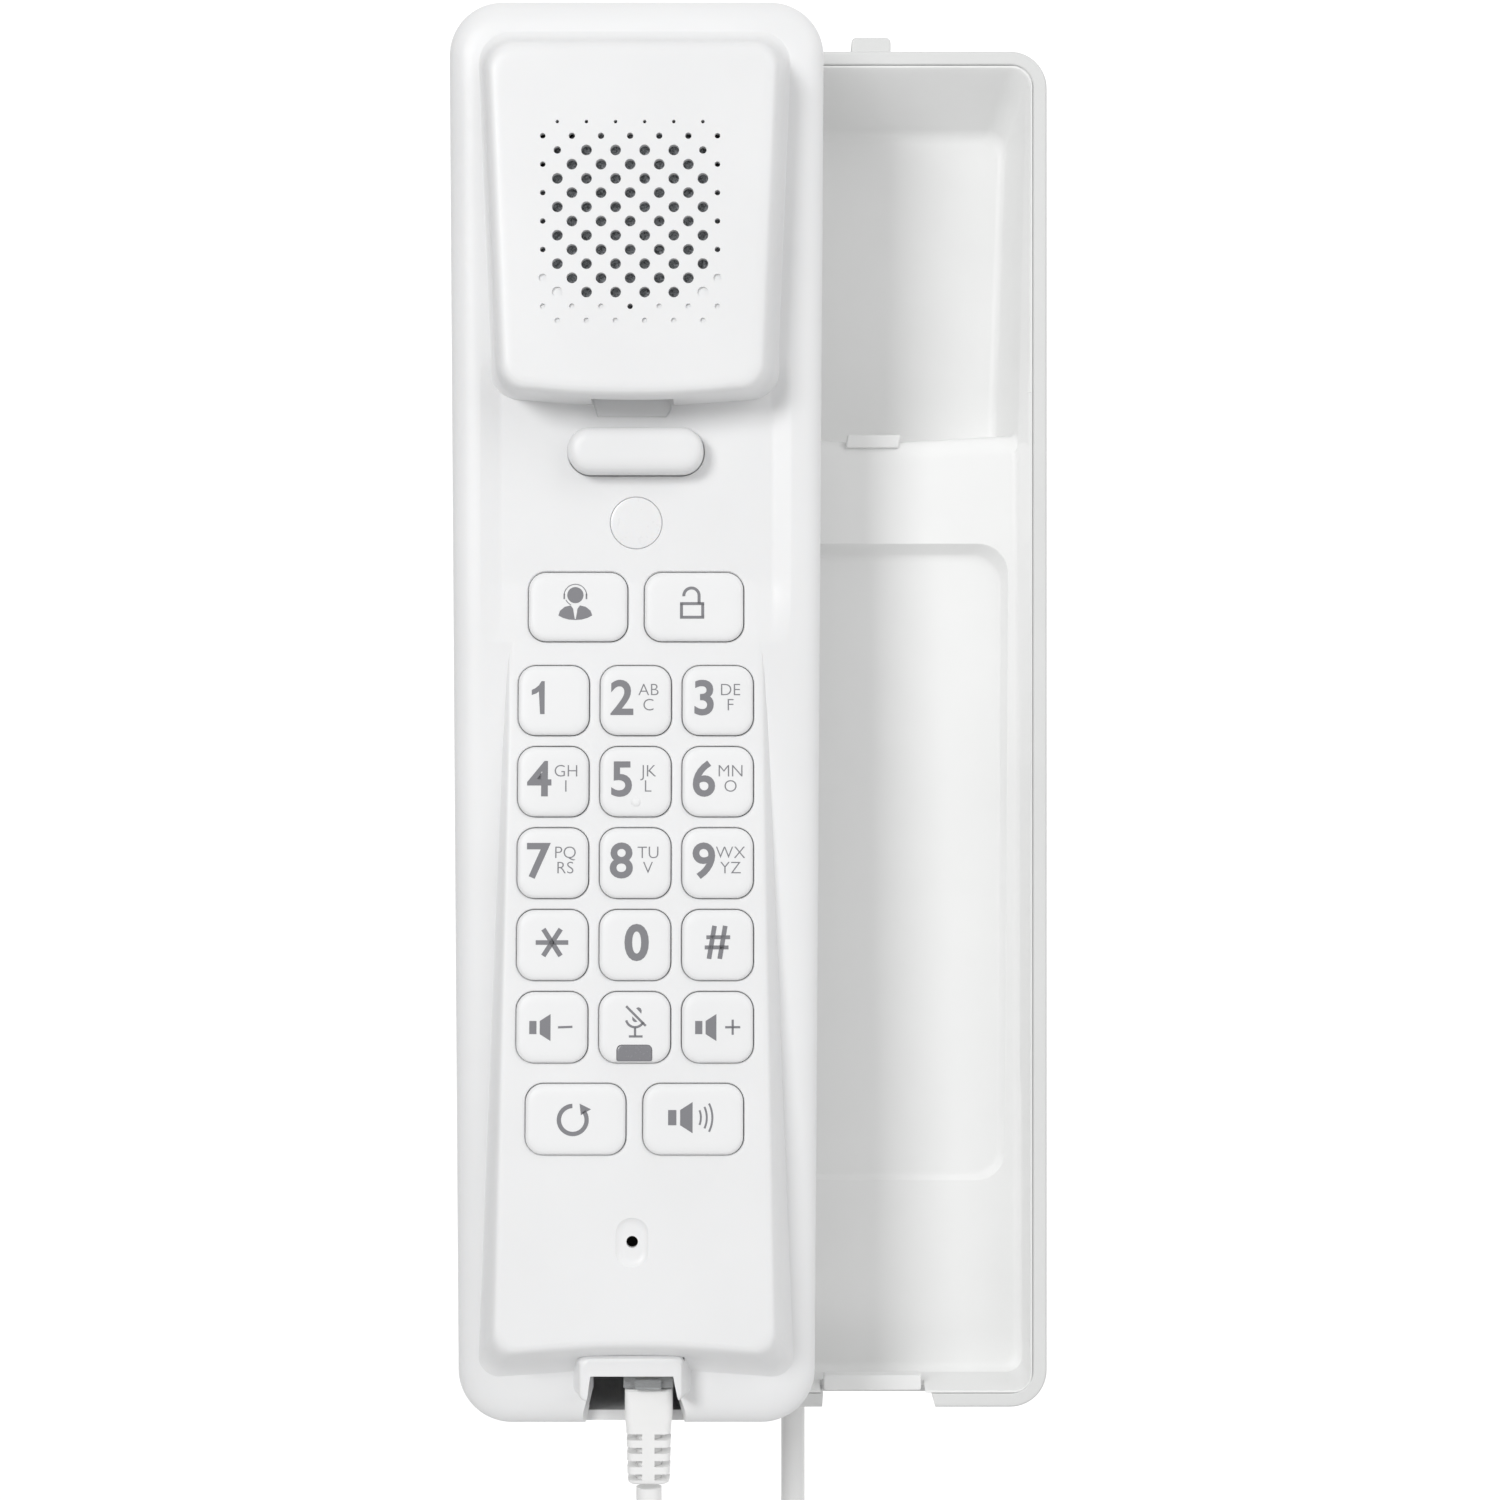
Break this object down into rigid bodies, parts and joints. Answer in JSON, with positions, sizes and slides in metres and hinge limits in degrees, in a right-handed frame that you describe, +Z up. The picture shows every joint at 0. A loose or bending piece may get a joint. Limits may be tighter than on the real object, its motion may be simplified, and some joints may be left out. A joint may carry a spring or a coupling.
{
  "type": "slimline wall phone",
  "caption": "Slim wall telephone: a shallow cradle base, a keypad handset held in front of it, face out, and a curly cord between them.",
  "frame": {"origin": "middle of the base's back face, on the wall", "axes": "+X to the right seen from the room, +Z up, -Y out of the wall towards the user"},
  "size_m": [0.0954, 0.063, 0.4015],
  "materials": {
    "base_plastic": "moulded satin, fine texture",
    "handset_plastic": "moulded satin white",
    "key_plastic": "smooth satin with printed grey legends",
    "circuit_board": "solder mask",
    "socket_plastic": "moulded",
    "clear_plastic": "clear moulded",
    "cord_plastic": "soft satin jacket",
    "receiver_felt": "thin acoustic felt",
    "black_rubber": "moulded",
    "steel": "zinc plated",
    "silicone": "matt silicone",
    "lens_plastic": "diffusing white",
    "lamp_window": "tinted translucent"
  },
  "bodies": {
    "base": {"rear_housing": "base_plastic", "cradle": "base_plastic", "handset_hook_tab": "base_plastic", "bottom_snap_tongue": "base_plastic", "housing_screw_1": "steel", "housing_screw_2": "steel", "housing_screw_3": "steel", "housing_screw_4": "steel", "main_board": "circuit_board", "lan_socket": "socket_plastic", "cord_socket": "socket_plastic", "base_plug": "clear_plastic", "base_plug_boot": "cord_plastic", "base_lead": "cord_plastic"},
    "handset_cord": {"cord_coil": "cord_plastic"},
    "handset": {"handset_front_shell": "handset_plastic", "handset_rear_shell": "handset_plastic", "handset_screw_1": "steel", "handset_screw_2": "steel", "receiver_cloth": "receiver_felt", "receiver_speaker": "socket_plastic", "microphone_boot": "black_rubber", "microphone": "steel", "keypad_mat": "silicone", "keypad_board": "circuit_board", "hook_switch": "socket_plastic", "indicator_lens": "lens_plastic", "handset_jack": "socket_plastic", "balance_weight": "steel", "handset_plug": "clear_plastic", "handset_plug_boot": "cord_plastic", "handset_lead": "cord_plastic"},
    "hook_plunger": {"hook_plunger": "handset_plastic"},
    "key_operator": {"key_operator": "key_plastic"},
    "key_unlock": {"key_unlock": "key_plastic"},
    "key_1": {"key_1": "key_plastic"},
    "key_2": {"key_2": "key_plastic"},
    "key_3": {"key_3": "key_plastic"},
    "key_4": {"key_4": "key_plastic"},
    "key_5": {"key_5": "key_plastic"},
    "key_6": {"key_6": "key_plastic"},
    "key_7": {"key_7": "key_plastic"},
    "key_8": {"key_8": "key_plastic"},
    "key_9": {"key_9": "key_plastic"},
    "key_star": {"key_star": "key_plastic"},
    "key_0": {"key_0": "key_plastic"},
    "key_hash": {"key_hash": "key_plastic"},
    "key_volume_down": {"key_volume_down": "key_plastic"},
    "key_mute": {"key_mute": "key_plastic", "mute_lamp_window": "lamp_window"},
    "key_volume_up": {"key_volume_up": "key_plastic"},
    "key_redial": {"key_redial": "key_plastic"},
    "key_speaker": {"key_speaker": "key_plastic"}
  },
  "joints": [
    {"name": "handset_turn", "type": "hinge", "parent": "base", "child": "handset_cord", "pos_m": [-0.0189, -0.05, 0], "axis": [0, 0, 1], "range_deg": [0, 180]},
    {"name": "handset_hang_up", "type": "slide", "parent": "handset_cord", "child": "handset", "axis": [0, -0.9912, -0.1322], "range_m": [0, 0.01665]},
    {"name": "hook_plunger_press", "type": "slide", "parent": "handset", "child": "hook_plunger", "axis": [0, 1, 0], "range_m": [0, 0.0012], "stiffness_N_per_m": 120},
    {"name": "key_operator_press", "type": "slide", "parent": "handset", "child": "key_operator", "axis": [0, 1, 0], "range_m": [0, 0.0008], "stiffness_N_per_m": 400},
    {"name": "key_unlock_press", "type": "slide", "parent": "handset", "child": "key_unlock", "axis": [0, 1, 0], "range_m": [0, 0.0008], "stiffness_N_per_m": 400},
    {"name": "key_1_press", "type": "slide", "parent": "handset", "child": "key_1", "axis": [0, 1, 0], "range_m": [0, 0.0008], "stiffness_N_per_m": 400},
    {"name": "key_2_press", "type": "slide", "parent": "handset", "child": "key_2", "axis": [0, 1, 0], "range_m": [0, 0.0008], "stiffness_N_per_m": 400},
    {"name": "key_3_press", "type": "slide", "parent": "handset", "child": "key_3", "axis": [0, 1, 0], "range_m": [0, 0.0008], "stiffness_N_per_m": 400},
    {"name": "key_4_press", "type": "slide", "parent": "handset", "child": "key_4", "axis": [0, 1, 0], "range_m": [0, 0.0008], "stiffness_N_per_m": 400},
    {"name": "key_5_press", "type": "slide", "parent": "handset", "child": "key_5", "axis": [0, 1, 0], "range_m": [0, 0.0008], "stiffness_N_per_m": 400},
    {"name": "key_6_press", "type": "slide", "parent": "handset", "child": "key_6", "axis": [0, 1, 0], "range_m": [0, 0.0008], "stiffness_N_per_m": 400},
    {"name": "key_7_press", "type": "slide", "parent": "handset", "child": "key_7", "axis": [0, 1, 0], "range_m": [0, 0.0008], "stiffness_N_per_m": 400},
    {"name": "key_8_press", "type": "slide", "parent": "handset", "child": "key_8", "axis": [0, 1, 0], "range_m": [0, 0.0008], "stiffness_N_per_m": 400},
    {"name": "key_9_press", "type": "slide", "parent": "handset", "child": "key_9", "axis": [0, 1, 0], "range_m": [0, 0.0008], "stiffness_N_per_m": 400},
    {"name": "key_star_press", "type": "slide", "parent": "handset", "child": "key_star", "axis": [0, 1, 0], "range_m": [0, 0.0008], "stiffness_N_per_m": 400},
    {"name": "key_0_press", "type": "slide", "parent": "handset", "child": "key_0", "axis": [0, 1, 0], "range_m": [0, 0.0008], "stiffness_N_per_m": 400},
    {"name": "key_hash_press", "type": "slide", "parent": "handset", "child": "key_hash", "axis": [0, 1, 0], "range_m": [0, 0.0008], "stiffness_N_per_m": 400},
    {"name": "key_volume_down_press", "type": "slide", "parent": "handset", "child": "key_volume_down", "axis": [0, 1, 0], "range_m": [0, 0.0008], "stiffness_N_per_m": 400},
    {"name": "key_mute_press", "type": "slide", "parent": "handset", "child": "key_mute", "axis": [0, 1, 0], "range_m": [0, 0.0008], "stiffness_N_per_m": 400},
    {"name": "key_volume_up_press", "type": "slide", "parent": "handset", "child": "key_volume_up", "axis": [0, 1, 0], "range_m": [0, 0.0008], "stiffness_N_per_m": 400},
    {"name": "key_redial_press", "type": "slide", "parent": "handset", "child": "key_redial", "axis": [0, 1, 0], "range_m": [0, 0.0008], "stiffness_N_per_m": 400},
    {"name": "key_speaker_press", "type": "slide", "parent": "handset", "child": "key_speaker", "axis": [0, 1, 0], "range_m": [0, 0.0008], "stiffness_N_per_m": 400}
  ],
  "couplings": [
    {"joint": "hook_plunger_press", "follows": "handset_hang_up", "ratio": 0.07207}
  ]
}
